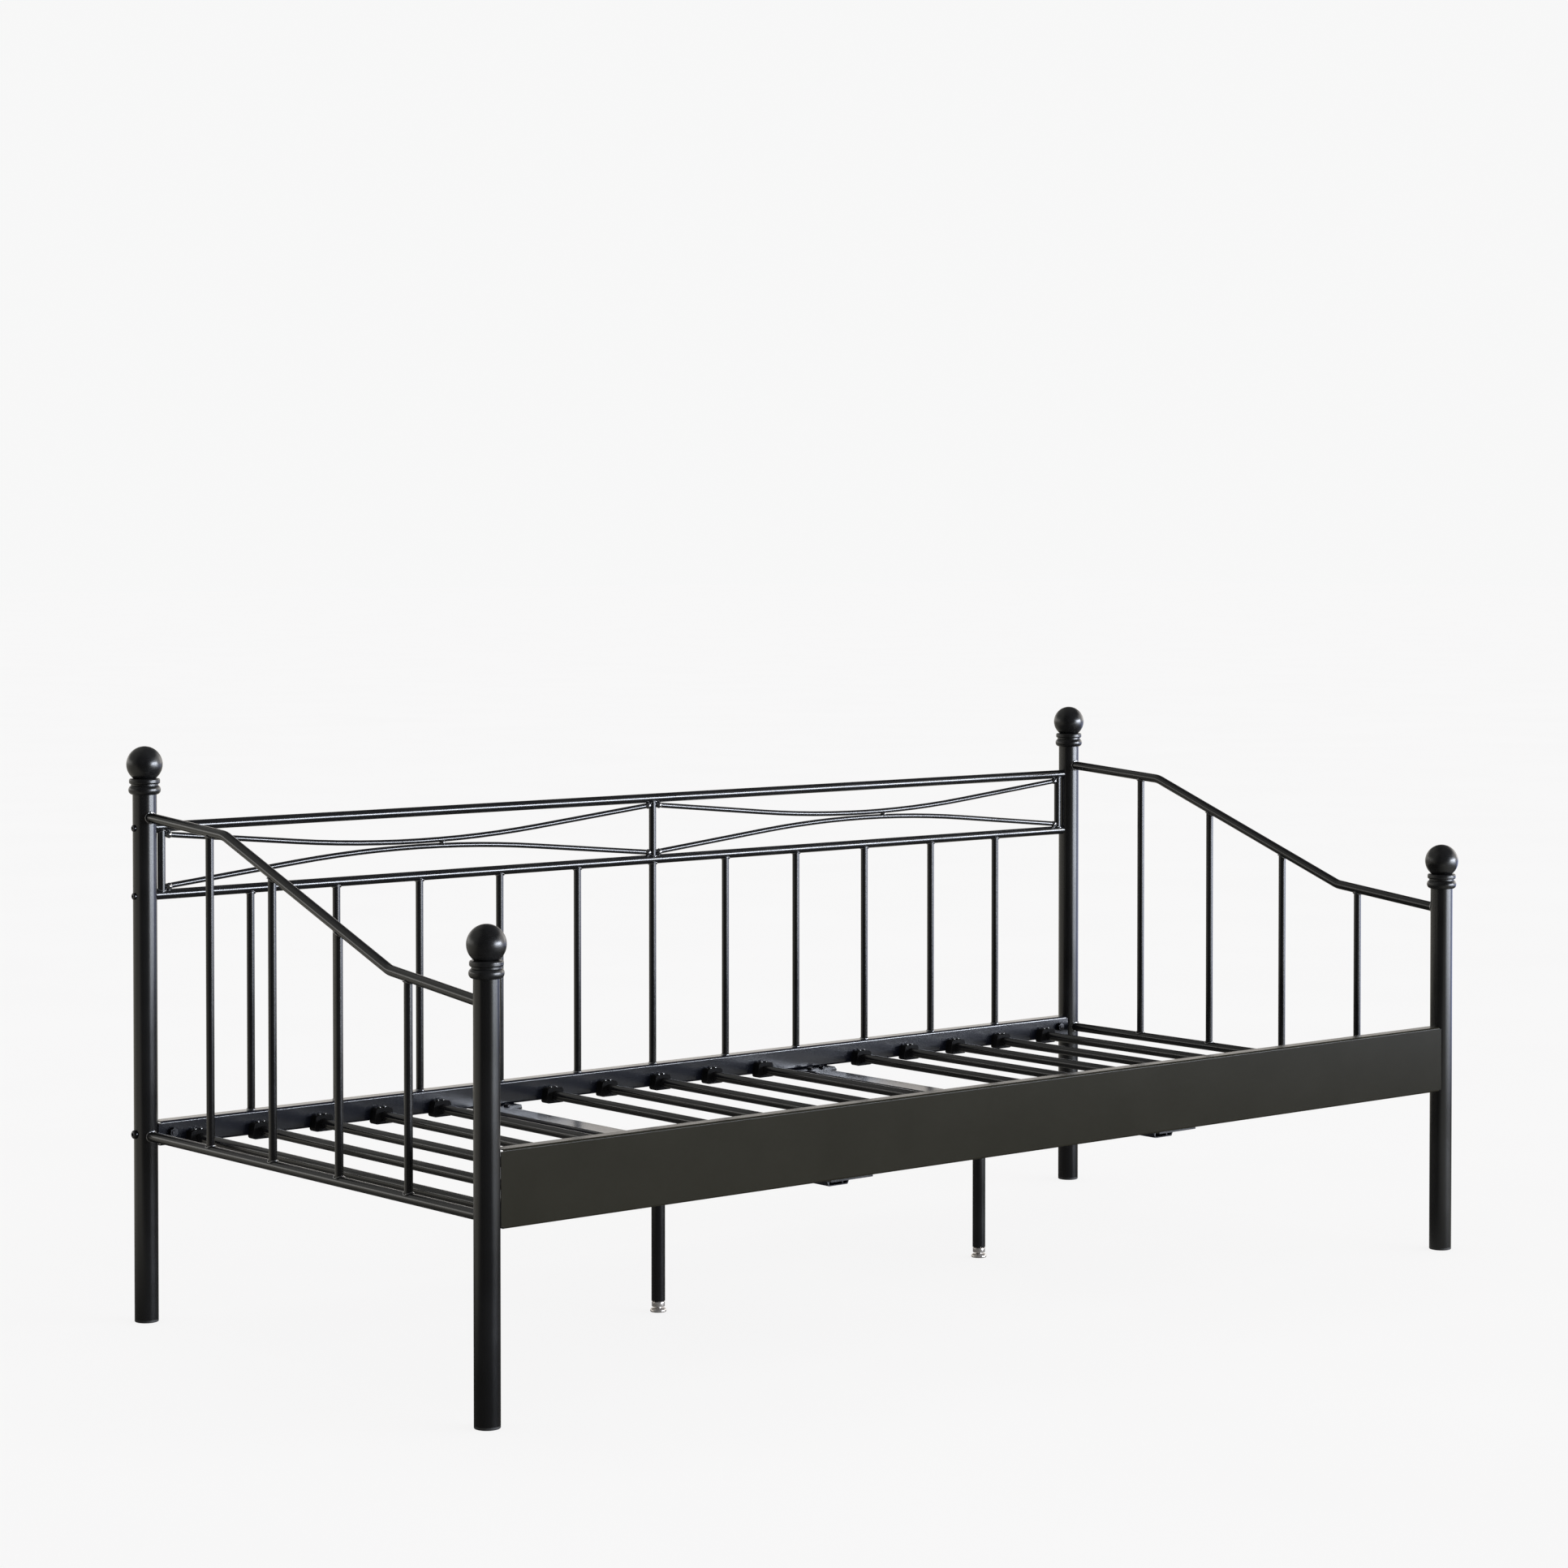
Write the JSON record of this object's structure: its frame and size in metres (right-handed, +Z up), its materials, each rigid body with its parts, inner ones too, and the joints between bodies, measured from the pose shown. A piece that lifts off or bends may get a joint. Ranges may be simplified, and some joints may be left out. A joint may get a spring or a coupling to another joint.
{
  "type": "metal daybed frame",
  "caption": "Long black metal daybed frame with a spindle back, stepped arms, ball finials, a folded front panel, round cross slats and levelling centre legs.",
  "frame": {"origin": "on the floor, below the middle of the frame", "axes": "+X along the length to the right seen from the front, +Y towards the back panel, +Z up"},
  "size_m": [2.097, 0.985, 0.9142],
  "materials": {
    "black_powder_coat": "semi-gloss black powder coat",
    "panel_coat": "satin black powder coat on flat sheet",
    "finial_gloss": "semi-gloss black moulding",
    "foot_cap_plastic": "matt black moulding",
    "holder_plastic": "fine-textured black moulding",
    "nickel_plate": "bright nickel plate",
    "black_zinc": "glossy black zinc fasteners",
    "insert_steel": "plain steel"
  },
  "bodies": {
    "frame": {"arm_bottom_rail_left": "black_powder_coat", "arm_bottom_rail_right": "black_powder_coat", "arm_spindles_left": "black_powder_coat", "arm_spindles_right": "black_powder_coat", "arm_top_rail_left": "black_powder_coat", "arm_top_rail_right": "black_powder_coat", "back_rail_bolts": "black_zinc", "back_rail_inserts": "insert_steel", "back_second_rail": "black_powder_coat", "back_spindles": "black_powder_coat", "back_top_rail": "black_powder_coat", "band_uprights": "black_powder_coat", "crossbar_bolts": "black_zinc", "crossbar_left": "black_powder_coat", "crossbar_nuts": "black_zinc", "crossbar_plates": "black_powder_coat", "crossbar_right": "black_powder_coat", "deck_bolts": "black_zinc", "finial_front_left": "finial_gloss", "finial_front_right": "finial_gloss", "finial_rear_left": "finial_gloss", "finial_rear_right": "finial_gloss", "foot_caps": "foot_cap_plastic", "front_panel": "panel_coat", "front_slat_rail": "black_powder_coat", "leg_inserts": "insert_steel", "leg_plates": "black_powder_coat", "post_front_left": "black_powder_coat", "post_front_right": "black_powder_coat", "post_rear_left": "black_powder_coat", "post_rear_right": "black_powder_coat", "rail_bolts": "black_zinc", "rail_brackets": "black_powder_coat", "rail_nuts": "black_zinc", "rear_slat_rail": "black_powder_coat", "scroll_rod_lower_left": "black_powder_coat", "scroll_rod_lower_right": "black_powder_coat", "scroll_rod_upper_left": "black_powder_coat", "scroll_rod_upper_right": "black_powder_coat", "slat_01": "black_powder_coat", "slat_02": "black_powder_coat", "slat_03": "black_powder_coat", "slat_04": "black_powder_coat", "slat_05": "black_powder_coat", "slat_06": "black_powder_coat", "slat_07": "black_powder_coat", "slat_08": "black_powder_coat", "slat_09": "black_powder_coat", "slat_10": "black_powder_coat", "slat_11": "black_powder_coat", "slat_12": "black_powder_coat", "slat_13": "black_powder_coat", "slat_14": "black_powder_coat", "slat_15": "black_powder_coat", "slat_holders_front": "holder_plastic", "slat_holders_rear": "holder_plastic", "support_leg_left": "black_powder_coat", "support_leg_right": "black_powder_coat"},
    "foot_left": {"levelling_foot_left": "nickel_plate"},
    "foot_right": {"levelling_foot_right": "nickel_plate"}
  },
  "joints": [
    {"name": "foot_left_height", "type": "slide", "parent": "frame", "child": "foot_left", "axis": [0, 0, -1], "range_m": [-0.0009, 0.012]},
    {"name": "foot_right_height", "type": "slide", "parent": "frame", "child": "foot_right", "axis": [0, 0, -1], "range_m": [-0.0009, 0.012]}
  ]
}
